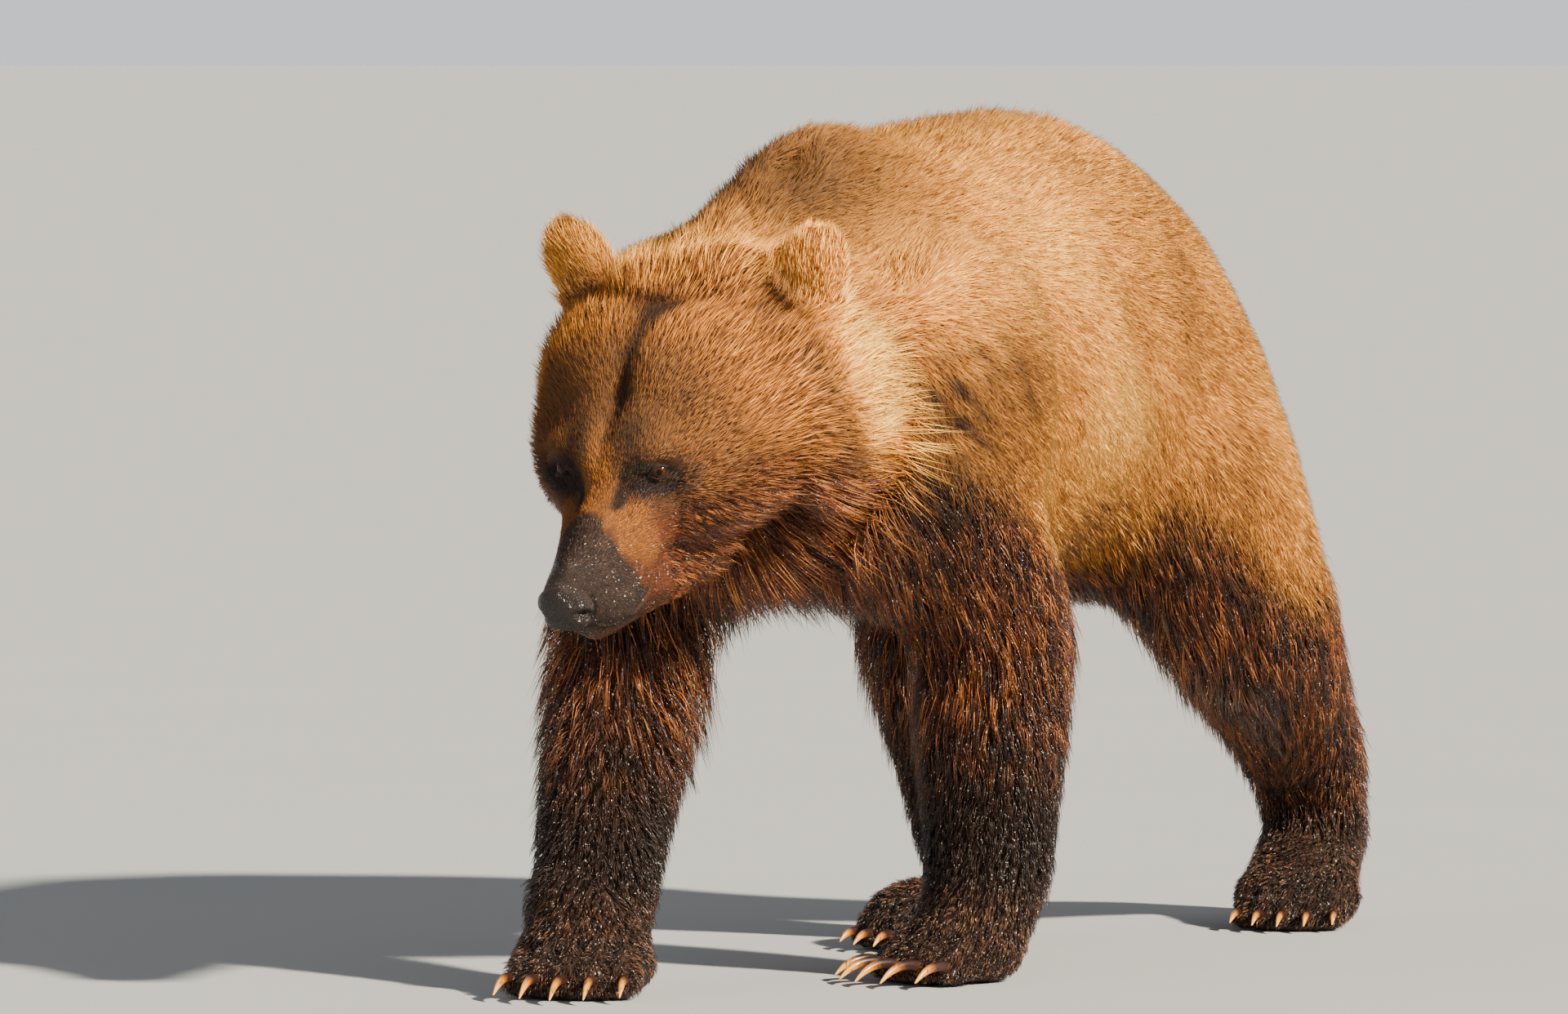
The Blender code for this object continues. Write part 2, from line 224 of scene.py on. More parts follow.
def furrowShare(points, reach):  # the parting between the two halves of the forehead
    local = toHead(points)
    parting = np.interp(local[:, 1], (-0.03, 0.02, 0.08, 0.15), (0.000, 0.004, 0.012, 0.022))
    reach = reach * np.interp(local[:, 1], (-0.03, 0.05, 0.15), (1.0, 1.0, 1.5))
    line = np.exp(-0.5 * ((local[:, 0] - parting) / reach) ** 2)
    line = line * ramp(local[:, 1], -0.045, 0.005) * ramp(local[:, 1], 0.175, 0.15)
    return line * ramp(local[:, 2], -0.02, 0.02)


def creaseShare(points):  # the fold across the forehead under the crown's thick hair
    local = toHead(points)
    middle = 0.142 + 0.42 * np.abs(local[:, 0] - 0.015) ** 1.05
    line = np.exp(-0.5 * ((local[:, 1] - middle) / 0.013) ** 2)
    return line * ramp(np.abs(local[:, 0]), 0.165, 0.03) * ramp(local[:, 2], 0.06, 0.10)


facePaths = {  # on the head's own axes, both sides alike
    "tearLine": ((0.050, -0.016, 0.008), (0.034, -0.027, 0.006), (0.027, -0.044, -0.011),
                 (0.031, -0.068, -0.022), (0.035, -0.092, -0.036)),
    "stripe": ((0.0, 0.010, 0.060), (0.004, -0.012, 0.046), (0.004, -0.028, 0.020), (0.006, -0.045, -0.006),
               (0.010, -0.060, -0.012)),
    "patch": ((0.043, -0.060, -0.026), (0.052, -0.070, -0.046), (0.062, -0.062, -0.066)),
    "ruffFold": ((0.196, 0.185, 0.070), (0.214, 0.165, -0.030), (0.202, 0.150, -0.110)),
    "nostril": ((0.020, -0.188, -0.080), (0.026, -0.181, -0.077), (0.032, -0.168, -0.083)),
    "nostrilSlit": ((0.036, -0.154, -0.068), (0.0385, -0.158, -0.078), (0.034, -0.168, -0.090)),
}
faceMarks = {  # centre and reach on the head's own axes
    "bridge": ((0, -0.085, -0.020), (0.024, 0.040, 0.030)),
    "eyes": ((0.074, -0.012, 0.000), (0.023, 0.018, 0.014)),
    "corner": ((0.050, -0.020, 0.006), (0.009, 0.014, 0.013)),
    "temple": ((0.036, 0.004, 0.040), (0.020, 0.026, 0.024)),
    "junctionShade": ((0.024, 0.138, 0.146), (0.030, 0.016, 0.040)),
    "earBase": ((0.140, 0.216, 0.106), (0.034, 0.034, 0.034)),
    "earHollowShade": ((0.186, 0.236, 0.132), (0.011, 0.020, 0.030)),
    "cheekLine": ((-0.05, 0.010), (0.05, 0.002), (0.16, -0.070), (0.24, -0.19)),
}


def thickEnd(points):  # the middle of a claw's highest few points
    return points[np.argsort(-points[:, 2])[:8]].mean(0)


def clawRoot(name):  # a claw's thick end, and which way it points on the floor
    points = readPoints(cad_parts[name].data)
    root = thickEnd(points)
    return root, unit((points.mean(0) - root) * (1, 1, 0))


toes, toeGaps = [], []
for paw in ("fore_left", "fore_right", "hind_left", "hind_right"):
    claws = [clawRoot(f"claw_{paw}_{number}") for number in range(1, 6)]
    toes += [root - 0.018 * ahead + (0, 0, 0.008) for root, ahead in claws]
    for (rootA, aheadA), (rootB, aheadB) in zip(claws, claws[1:]):
        middle, ahead = (rootA + rootB) / 2, unit(aheadA + aheadB)
        toeGaps.append((middle + 0.014 * ahead - (0, 0, 0.018), middle - 0.012 * ahead + (0, 0, 0.014),
                        middle - 0.052 * ahead + (0, 0, 0.030)))


def toeShare(points, reach):  # 1 in the creases between neighbouring toes
    share = np.zeros(len(points))
    low = points[:, 2] < 0.13
    for path in toeGaps:
        share[low] = np.maximum(share[low], alongPath(points[low], path, reach))
    return share


def markings(points):
    # how wet, pale, dark, rusty and grey the coat is at each point
    local = mirrored(points)
    x, y, z = local.T
    ears = earShare(points)
    head = np.maximum(headShare(points), ears)
    side = np.c_[np.abs(points[:, 0]), points[:, 1:]]

    # wet below a line along the body and below another along the cheek
    lines = np.array(coat["waterline"])
    waterline = np.interp(points[:, 1], lines[:, 0], lines[:, 1]) + 0.035 * ripple(points, 0.22, 5)
    waterline += 0.11 * ramp(np.abs(points[:, 0]), 0.24, 0.14) * ramp(points[:, 1], -0.30, -0.40)
    wetBody = ramp(points[:, 2], waterline + 0.11, waterline - 0.11)
    lines = np.array(faceMarks["cheekLine"])
    cheekLine = np.interp(y, lines[:, 0], lines[:, 1]) + 0.012 * ripple(points, 0.05, 6)
    wetHead = 0.85 * ramp(z, cheekLine + 0.08, cheekLine - 0.10)

    # muzzle, and the tan stripe and patch beside it
    edge = 0.008 * ripple(points, 0.035, 14) + 0.005 * ripple(points, 0.012, 15)
    back = y + edge + 0.10 * np.maximum(z + 0.06, 0) + 0.4 * np.maximum(x - 0.025, 0)
    snout = ramp(back, -0.064, -0.090) * ramp(z, -0.150, -0.105)
    ragged = np.c_[ripple(points, 0.030, 16), ripple(points, 0.022, 17), ripple(points, 0.026, 18)]
    ragged = local + 0.0045 * ragged
    stripe = alongPath(ragged, facePaths["stripe"], 0.009)
    patch = ramp(alongPath(ragged, facePaths["patch"], 0.018), 0.25, 0.75)
    tan = np.clip(0.55 * stripe + patch, 0, 1)
    wet = blend(wetBody, wetHead * (1 - 0.42 * tan), head)
    streaks = 0.22 * ripple(local * (1, 0.35, 1), 0.016, 19)
    grey = np.clip((1.0 + streaks) * snout + 0.9 * blob(local, *faceMarks["bridge"]) - 1.2 * tan, 0, 1)

    # dark fur round the eyes; painted shade in the forehead's furrow and crease, where they meet, along the
    # ruff's fold and in the ears' hollows; the ears' base is darker fur with painted shade
    eyes = blob(local, *faceMarks["eyes"])
    corner = blob(local, *faceMarks["corner"])
    tear = alongPath(local, facePaths["tearLine"], 0.0060)
    forehead = ramp(y + 0.35 * x, 0.185, 0.085) * ramp(z, 0.165, 0.10)
    junctionShade = blob(toHead(points), *faceMarks["junctionShade"])
    temple = 0.34 * blob(local, *faceMarks["temple"])
    # painted shade along the ruff's fold
    fold = 0.7 * alongPath(local, facePaths["ruffFold"], 0.015)
    # at the ears' base darker fur with painted shade, in the ears' hollows painted shade
    earBase = 0.72 * blob(local, *faceMarks["earBase"]) + 0.12 * blob(local, *faceMarks["earHollowShade"])
    # painted shade in the forehead's furrow
    furrow = 0.46 * furrowShare(points, 0.0070) * (0.65 + 0.5 * ramp(y, 0.08, 0.14))
    shade = 0.85 * np.clip(eyes + 0.8 * corner, 0, 1) + 0.75 * tear + furrow
    # painted shade in the crease and where it meets the furrow
    shade = shade + 0.34 * creaseShare(points) + 0.55 * junctionShade + temple
    shade = np.clip(shade + 0.66 * forehead * (1 - 0.75 * wetHead) + fold + earBase - 0.7 * tan, 0, 1)

    # darker towards the floor and in patches, on the front of the hump partly painted shade; painted shade
    # along the flank's fold and in the creases between the toes
    low = ramp(points[:, 2], 0.42, 0.16)
    low = low * (1 - 0.65 * ramp(points[:, 1], 0.15, 0.30) * ramp(points[:, 2], 0.12, 0.18))
    body = wetBody * (0.22 + 0.46 * low - 0.22 * ramp(points[:, 2], 0.17, 0.07))
    mottle = np.clip(0.95 + 0.40 * ripple(points, 0.035, 12) * ramp(points[:, 2], 0.92, 0.82), 0, 2)
    for centre, radii, amount in coat["darker"]:
        body = body + amount * mottle * blob(side, centre, radii)
    # painted shade along the flank's fold and between the toes
    body = body + 0.30 * alongPath(side, bodyPaths["flank"], 0.040) + 0.75 * toeShare(points, 0.0065)
    dark = blend(np.clip(body, 0, 1), shade, head)

    # pale on the ruff, the crown and the ears, and on the body a pale tone with painted light on its lit
    # parts
    ruff = ramp(x + 0.35 * y, 0.245, 0.300) * ramp(z, -0.25, -0.15)
    # the crown's pale stays out of the crease, painted shade there
    crown = ramp(y + 0.3 * z, 0.205, 0.25) * (1 - creaseShare(points))
    paleAndLight = 0.40 + 0.14 * ripple(points, 0.30, 8)
    for centre, radii, amount in coat["paler"]:
        paleAndLight = paleAndLight + amount * blob(side, centre, radii)
    headLit = 0.16 - 0.12 * forehead + (0.90 * ruff + 0.30 * crown) * (1 - ears) + 0.50 * ears + 0.04 * tan
    pale = blend(paleAndLight, np.clip(headLit, 0, 1), head)
    rust = np.clip(wet * (1 - low) * (0.55 + 0.5 * ripple(points, 0.09, 9)) + 0.85 * wet * head, 0, 1)
    grey = blend(0.35 * ramp(points[:, 2], 0.17, 0.07), grey, head)
    return {"wet": wet, "dark": dark, "pale": np.clip(pale, 0, 1), "rust": rust, "grey": grey,
            "nose": noseShare(points), "head": head, "ears": ears}


def noseShare(points):  # the bare pad at the tip of the muzzle
    local = mirrored(points)
    x, y, z = local.T
    edge = np.hypot(x / 0.037, (z + 0.074) / np.where(z > -0.074, 0.034, 0.031))
    return ramp(edge, 1.08, 0.90) * ramp(y + 0.45 * (z + 0.074), -0.148, -0.164)


markNames = ("wet", "dark", "pale", "rust", "grey", "nose")


def crestShare(points):  # ruffled tufts along the back, longest on the hump
    ridge = ramp(np.abs(points[:, 0]), 0.15, 0.04) * ramp(points[:, 2], 0.86, 0.95)
    ridge = ridge * np.clip(0.4 + 0.30 * ripple(points, 0.026, 41) + 0.35 * ripple(points, 0.11, 42), 0, 1.2)
    return ridge + 2.6 * blob(points, (0.010, -0.385, 1.015), (0.014, 0.020, 0.03))


def coatLength(points, marks):
    local = toHead(points)
    x, y, z = np.abs(local[:, 0]), local[:, 1], local[:, 2]
    onHead = np.interp(y + 0.35 * np.maximum(x - 0.06, 0), (-0.18, -0.06, 0.0, 0.07, 0.15, 0.24, 0.32),
                       (0.0040, 0.0062, 0.0115, 0.020, 0.027, 0.036, 0.044))
    onHead = blend(onHead, 0.020, marks["ears"])
    onHead = onHead * (1 + 0.6 * marks["wet"] * ramp(y, -0.06, 0.06))
    onHead = onHead * (1 + 0.9 * ramp(z, -0.07, -0.13) * ramp(y, -0.07, 0.03))
    hanging = sum(blob(points, centre, radii) for centre, radii in coat["hanging"])
    wetLong = coat["wetLength"] * (1 + 0.8 * np.clip(hanging, 0, 1.5))
    wetLong = wetLong * np.interp(points[:, 2], (0.0, 0.05, 0.13, 0.30), (0.28, 0.36, 0.62, 1.0))
    onBody = blend(coat["dryLength"] * (1 + 0.45 * crestShare(points)), wetLong, marks["wet"])
    return blend(onBody, onHead, marks["head"])


def coatLift(points, marks):  # degrees above the skin
    local = toHead(points)
    lift = blend(coat["dryLift"] + 16 * crestShare(points), coat["wetLift"], marks["wet"])
    onHead = np.interp(local[:, 1], (-0.1, 0.05, 0.15, 0.25), (9.0, 14.0, 19.0, 29.0))
    onHead = onHead + 12.0 * blob(mirrored(points), (0.125, 0.040, 0.020), (0.030, 0.060, 0.070))
    return blend(lift, blend(onHead, 20.0, marks["ears"]), marks["head"])


def coatFlow(points, normals, marks):  # which way the hair lies, along the skin
    local = toHead(points)
    y, z = points[:, 1], points[:, 2]
    back = np.interp(z, coat["heights"], coat["rearward"])
    down = np.interp(z, coat["heights"], coat["downward"])
    rear = ramp(y, 0.62, 0.86) * ramp(z, 0.15, 0.3)
    back, down = blend(back, 0.15, rear), blend(down, 1.0, rear)
    chest = ramp(y, -0.42, -0.56) * ramp(z, 0.90, 0.70)
    back, down = blend(back, 0.25, chest), blend(down, 1.0, chest)
    body = np.c_[0 * y, back, -down]
    belly = ramp(-normals[:, 2], 0.3, 0.8) * ramp(z, 0.2, 0.34)
    body[:, 1] += 0.8 * belly
    source = np.array((0, -0.13, -0.055))
    radial = unit(local - source)
    radial[:, 2] -= 0.55 * ramp(local[:, 2], 0.02, -0.06) * ramp(local[:, 1], -0.08, 0.03)
    sideways = np.sign(local[:, 0]) * ramp(np.abs(local[:, 0]), 0.0, 0.05) * 0.25
    radial[:, 0] += sideways * ramp(local[:, 1], 0.0, 0.05)
    radial = blend(radial, np.c_[0.35 * np.sign(local[:, 0]), 0.15 + 0 * y, 1.0 + 0 * y], marks["ears"])
    flow = blend(body, unit(radial) @ headAxes.T, marks["head"])
    swirl = np.c_[ripple(points, 0.10, 21), ripple(points, 0.10, 22), ripple(points, 0.10, 23)]
    flow = unit(flow) + 0.13 * swirl
    flow -= normals * (flow * normals).sum(1, keepdims=True)
    return unit(flow)


# skin: the flesh solids in one piece, drawn in by the coat's depth, then modelled
skinLook = {"voxel": 0.009, "grow": 0.0008, "ease": 46, "kept": 0.52}
fleshNames = sorted(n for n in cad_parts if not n.startswith(("claw", "eye")))


def joinFlesh():
    copies = []
    for name in fleshNames:
        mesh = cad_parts[name].data.copy()
        copied = putOut("skinPart", mesh)
        pick(copied)
        bpy.ops.object.mode_set(mode="EDIT")
        bpy.ops.mesh.select_all(action="SELECT")
        bpy.ops.mesh.remove_doubles(threshold=0.00005)
        bpy.ops.object.mode_set(mode="OBJECT")
        writePoints(mesh, readPoints(mesh) + skinLook["grow"] * readPoints(mesh, "normal"))
        copies.append(copied)
    deselectAll()
    for copied in copies:
        copied.select_set(True)
    bpy.context.view_layer.objects.active = copies[0]
    bpy.ops.object.join()
    joined = bpy.context.object
    joined.name = "bearSkin"
    joined.data.name = "bearSkin"
    joined.data.materials.clear()
    finishWith(joined, "REMESH", mode="VOXEL", voxel_size=skinLook["voxel"])
    return joined


def relax(mesh, rounds, weights):
    points = readPoints(mesh)
    ends = np.empty(len(mesh.edges) * 2, np.int32)
    mesh.edges.foreach_get("vertices", ends)
    first, second = ends.reshape(-1, 2).T
    count = np.bincount(first, minlength=len(points)) + np.bincount(second, minlength=len(points))
    for _ in range(rounds):
        middle = np.empty_like(points)
        for axis in range(3):
            middle[:, axis] = (np.bincount(first, points[second, axis], len(points))
                               + np.bincount(second, points[first, axis], len(points)))
        middle /= count[:, None]
        points += (middle - points) * 0.5 * weights[:, None]
    writePoints(mesh, points)


def refine(obj, chosen):  # halves the faces whose centres are chosen
    mesh = obj.data
    centres = np.empty(len(mesh.polygons) * 3, np.float32)
    mesh.polygons.foreach_get("center", centres)
    keep = chosen(centres.reshape(-1, 3).astype(float))
    pick(obj)
    bpy.ops.object.mode_set(mode="EDIT")
    bpy.ops.mesh.select_mode(type="FACE")
    bpy.ops.mesh.select_all(action="DESELECT")
    bpy.ops.object.mode_set(mode="OBJECT")
    mesh.polygons.foreach_set("select", keep)
    bpy.ops.object.mode_set(mode="EDIT")
    bpy.ops.mesh.subdivide(number_cuts=1, quadcorner="INNERVERT")
    bpy.ops.object.mode_set(mode="OBJECT")


def nearEyes(points, reach):
    return np.minimum(*(np.linalg.norm(points - c, axis=1) for c in eyeCentres.values())) < reach


face = {
    # centre and reach on the head's axes (x is mirrored), and how far the skin moves out
    "forms": (
        ((0.056, 0.070, 0.085), (0.030, 0.045, 0.040), 0.007),  # forehead bulge
        ((0.118, 0.050, 0.030), (0.035, 0.050, 0.050), 0.017),  # temple
        ((0.120, 0.120, 0.085), (0.035, 0.060, 0.060), 0.011),  # side of the forehead
        ((0.064, 0.008, 0.030), (0.026, 0.014, 0.012), 0.009),  # brow
        ((0.100, 0.008, -0.002), (0.022, 0.022, 0.022), 0.006),  # behind the eye
        ((0.070, -0.030, -0.026), (0.026, 0.018, 0.012), 0.007),  # under the eye
        ((0.036, -0.036, -0.006), (0.009, 0.024, 0.016), -0.005),  # inner corner hollow
        ((0.000, -0.060, -0.010), (0.015, 0.050, 0.024), 0.005),  # bridge
        ((0.034, -0.095, -0.050), (0.014, 0.035, 0.014), -0.003),  # side of the muzzle
        ((0.036, -0.130, -0.096), (0.020, 0.026, 0.016), 0.005),  # whisker pad
        ((0.120, 0.060, -0.070), (0.040, 0.050, 0.045), 0.008),  # cheek
        ((0.000, -0.176, -0.046), (0.030, 0.016, 0.010), 0.004),  # top of the nose
        ((0.000, -0.130, -0.140), (0.022, 0.022, 0.014), 0.003),  # chin
    ),
    "furrow": -0.010, "crease": -0.007,
    "mouth": (((0.0, -0.180, -0.112), (0.024, -0.166, -0.113), (0.046, -0.120, -0.112),
               (0.066, -0.074, -0.116)), 0.0032, -0.008),
    "lipGroove": (((0.0, -0.190, -0.086), (0.0, -0.184, -0.110)), 0.0018, -0.004),
    "nostril": (facePaths["nostril"], 0.0036, -0.010),
    "nostrilSlit": (facePaths["nostrilSlit"], 0.0022, -0.004),
    "noseEdge": -0.0010, "noseSwell": 0.0035,
    "earHollow": ((0.186, 0.236, 0.132), (0.020, 0.026, 0.028), -0.007),
    "gaze": (0.58, -0.74, 0.30),
    "opening": (0.0122, 0.0054),  # half width and half height between the lids
    "lidThickness": 0.0014, "sunk": 0.0050,  # how far the ball lies behind the solid's
}
bodyForms = (  # muscle under the coat (x is mirrored)
    ((0.270, -0.300, 0.720), (0.05, 0.09, 0.12), 0.007),  # shoulder
    ((0.200, -0.100, 0.900), (0.06, 0.10, 0.08), 0.004),  # shoulder blade
    ((0.260, -0.020, 0.700), (0.05, 0.07, 0.14), 0.004),  # ribs
    ((0.240, 0.480, 0.700), (0.06, 0.14, 0.15), 0.007),  # thigh
)


def shapeFace(mesh):
    points, normals = readPoints(mesh), readPoints(mesh, "normal")
    local = mirrored(points)
    move = np.zeros(len(points))
    for centre, radii, amount in face["forms"]:
        move += amount * blob(local, centre, radii)
    for key in ("mouth", "lipGroove", "nostril", "nostrilSlit"):
        path, reach, amount = face[key]
        move += amount * np.exp(-0.5 * (nearPath(local, path) / reach) ** 2)
    move += face["furrow"] * furrowShare(points, 0.013) + face["crease"] * creaseShare(points)
    pad = noseShare(points)
    move += face["noseEdge"] * 4 * pad * (1 - pad) + face["noseSwell"] * pad
    centre, radii, amount = face["earHollow"]
    move += amount * blob(local, centre, radii)
    side = np.c_[np.abs(points[:, 0]), points[:, 1:]]
    for centre, radii, amount in bodyForms:
        move += amount * blob(side, centre, radii)
    move -= 0.009 * alongPath(side, bodyPaths["flank"], 0.030)
    move -= 0.006 * alongPath(side, bodyPaths["shoulder"], 0.022)
    move -= 0.009 * toeShare(points, 0.0055)
    for toe in toes:
        move += 0.005 * blob(points, toe, (0.013, 0.013, 0.012))
    writePoints(mesh, points + normals * move[:, None])


eyeLook = {
    "radius": 0.0130, "iris": 0.0080, "pupil": 0.0032,
    "black": (0.003, 0.002, 0.002), "dark": (0.014, 0.0050, 0.0025), "light": (0.038, 0.0125, 0.0045),
    "edge": (0.016, 0.009, 0.006),  # past the iris
}


def gazeOf(sideName):
    return unit(headAxes @ (np.array(face["gaze"]) * (sideSigns[sideName], 1, 1)))


eyeMiddles = {name: eyeCentres[name] - face["sunk"] * gazeOf(name) for name in sideSigns}


def eyeAngles(points, sideName):
    # distance from the eyeball's centre, and place across and up its front in metres
    side = sideSigns[sideName]
    gaze = gazeOf(sideName)
    across = unit(np.cross(headAxes[:, 2], gaze)) * side
    upward = np.cross(gaze, across) * side
    away = points - eyeMiddles[sideName]
    reach = np.linalg.norm(away, axis=1)
    ways = unit(away)
    ball = eyeLook["radius"]
    ahead = np.arccos(np.clip(ways @ gaze, -1, 1))
    turn = unit(np.c_[ways @ across, ways @ upward]) * (ahead * ball)[:, None]
    return reach, turn[:, 0], turn[:, 1], ahead


def openLids(mesh):
    for sideName in sideSigns:
        points = readPoints(mesh)
        reach, across, up, ahead = eyeAngles(points, sideName)
        wide, tall = face["opening"]
        arch = tall * np.clip(1.15 - 0.55 * (across / wide) ** 2, 0.35, 2)
        gap = np.sqrt((across / wide) ** 2 + (up / arch) ** 2)
        ball = eyeLook["radius"]
        lid = ball + face["lidThickness"]
        inner = ball - 0.0025
        near = ramp(reach, 0.034, 0.022) * ramp(ahead, math.radians(100), math.radians(80))
        target = blend(inner, lid, ramp(gap, 0.86, 1.06))
        hold = ramp(gap, 2.7, 1.25)
        fold = 0.0009 * np.exp(-0.5 * ((gap - 1.22) / 0.12) ** 2)
        fold = fold - 0.0010 * np.exp(-0.5 * ((gap - 1.62) / 0.14) ** 2)
        goal = blend(reach, target + fold, hold * near)
        goal = np.where((near > 0) & (gap > 1.06), np.maximum(goal, np.minimum(lid, reach + 0.02)), goal)
        ways = unit(points - eyeMiddles[sideName])
        writePoints(mesh, np.where((near > 0)[:, None], eyeMiddles[sideName] + ways * goal[:, None], points))


def makeSkin():
    skin = joinFlesh()
    mesh = skin.data
    points = readPoints(mesh)
    fine = np.maximum(headShare(points), earShare(points)) * 0.93
    fine = np.maximum(fine, ramp(points[:, 2], 0.20, 0.12) * 0.93)
    relax(mesh, skinLook["ease"], 1 - fine)
    relax(mesh, 3, np.ones(len(mesh.vertices)))
    refine(skin, lambda p: (headShare(p) > 0.4) | (earShare(p) > 0.3) | (p[:, 2] < 0.13))
    relax(mesh, 2, np.ones(len(mesh.vertices)))
    refine(skin, lambda p: (toHead(p)[:, 1] < 0.045) & (headShare(p) > 0.9))
    relax(mesh, 2, ramp(toHead(readPoints(mesh))[:, 1], 0.10, 0.04))
    refine(skin, lambda p: nearEyes(p, 0.026) | (toHead(p)[:, 1] < -0.150))
    relax(mesh, 1, ramp(toHead(readPoints(mesh))[:, 1], 0.06, 0.03))
    points, normals = readPoints(mesh), readPoints(mesh, "normal")
    marks = markings(points)
    depth = coatLength(points, marks) * np.sin(np.radians(coatLift(points, marks))) * 0.9
    depth *= ramp(points[:, 2], 0.004, 0.03)
    depth *= ramp(toHead(points)[:, 1], -0.166, -0.150)  # the bare nose keeps its size
    depth = blend(depth, -0.0015, marks["ears"])  # thin ears have shrunk enough
    writePoints(mesh, points - normals * depth[:, None])
    points = readPoints(mesh)
    relax(mesh, 2, ramp(points[:, 2], 0.02, 0.05) * ramp(toHead(points)[:, 1], -0.02, 0.06))
    shapeFace(mesh)
    openLids(mesh)
    points = readPoints(mesh)
    points[:, 2] = np.maximum(points[:, 2], 0)
    writePoints(mesh, points)
    pick(skin)
    bpy.ops.object.shade_smooth()
    return skin


skin = makeSkin()
print("skin:", len(skin.data.polygons), "faces")


class Wire:  # a socket that takes part in sums
    def __init__(self, tree, socket):
        self.tree, self.socket = tree, socket

    def sum(self, operation, *values):
        return self.tree.node("ShaderNodeMath", {"operation": operation}, dict(enumerate(values)))

    def __add__(self, other):
        return self.sum("ADD", self, other)

    __radd__ = __add__

    def __sub__(self, other):
        return self.sum("SUBTRACT", self, other)

    def __rsub__(self, other):
        return self.sum("SUBTRACT", other, self)

    def __mul__(self, other):
        return self.sum("MULTIPLY", self, other)

    __rmul__ = __mul__

    def between(self, start, end):  # smooth step
        return self.tree.node("ShaderNodeMapRange", {"interpolation_type": "SMOOTHSTEP"},
                              {0: self, 1: start, 2: end}, "Result")


class Finish:  # one material
    def __init__(self, name, **constants):
        self.material = bpy.data.materials.new(name)
        self.material.use_nodes = True
        self.nodes = self.material.node_tree.nodes
        self.links = self.material.node_tree.links
        self.shader = self.nodes["Principled BSDF"]
        for key, value in constants.items():
            self.shader.inputs[key.replace("_", " ")].default_value = value

    def node(self, kind, settings=None, values=None, output=0):
        made = self.nodes.new(kind)
        for key, value in (settings or {}).items():
            setattr(made, key, value)
        for key, value in (values or {}).items():
            if isinstance(value, Wire):
                self.links.new(value.socket, made.inputs[key])
            else:
                made.inputs[key].default_value = value
        return Wire(self, made.outputs[output])

    def attribute(self, name):
        return self.node("ShaderNodeAttribute", {"attribute_name": name}, output="Fac")

    def place(self):
        return self.node("ShaderNodeTexCoord", output="Object")

    def noise(self, where, scale, detail=3.0, roughness=0.5):
        return self.node("ShaderNodeTexNoise", None, {"Vector": where, "Scale": scale, "Detail": detail,
                                                      "Roughness": roughness}, "Fac")

    def mix(self, factor, first, second):
        values = {0: factor}
        for key, value in ((6, first), (7, second)):
            values[key] = value if isinstance(value, Wire) else (*value, 1)
        return self.node("ShaderNodeMix", {"data_type": "RGBA"}, values, 2)

    def feed(self, **inputs):
        for key, value in inputs.items():
            self.links.new(value.socket, self.shader.inputs[key.replace("_", " ")])
        return self.material

    def bump(self, height, strength, distance):
        values = {"Height": height, "Strength": strength, "Distance": distance}
        return self.node("ShaderNodeBump", None, values, "Normal")


coatColours = {
    "gold": (0.60, 0.210, 0.025), "goldRoot": (0.112, 0.037, 0.009),
    "pale": (1.0, 0.49, 0.095), "cream": (1.0, 0.60, 0.125),
    "rust": (0.165, 0.039, 0.0095), "amber": (0.38, 0.125, 0.021), "brown": (0.028, 0.0095, 0.0045),
    "dark": (0.013, 0.0065, 0.0045), "umber": (0.092, 0.042, 0.017),
    "grey": (0.125, 0.066, 0.038), "soot": (0.016, 0.0085, 0.006),
    "nose": (0.016, 0.0088, 0.0065), "nostrilShade": (0.002, 0.0015, 0.0015), "paintedGlint": (0.90, 0.80, 0.70),
}


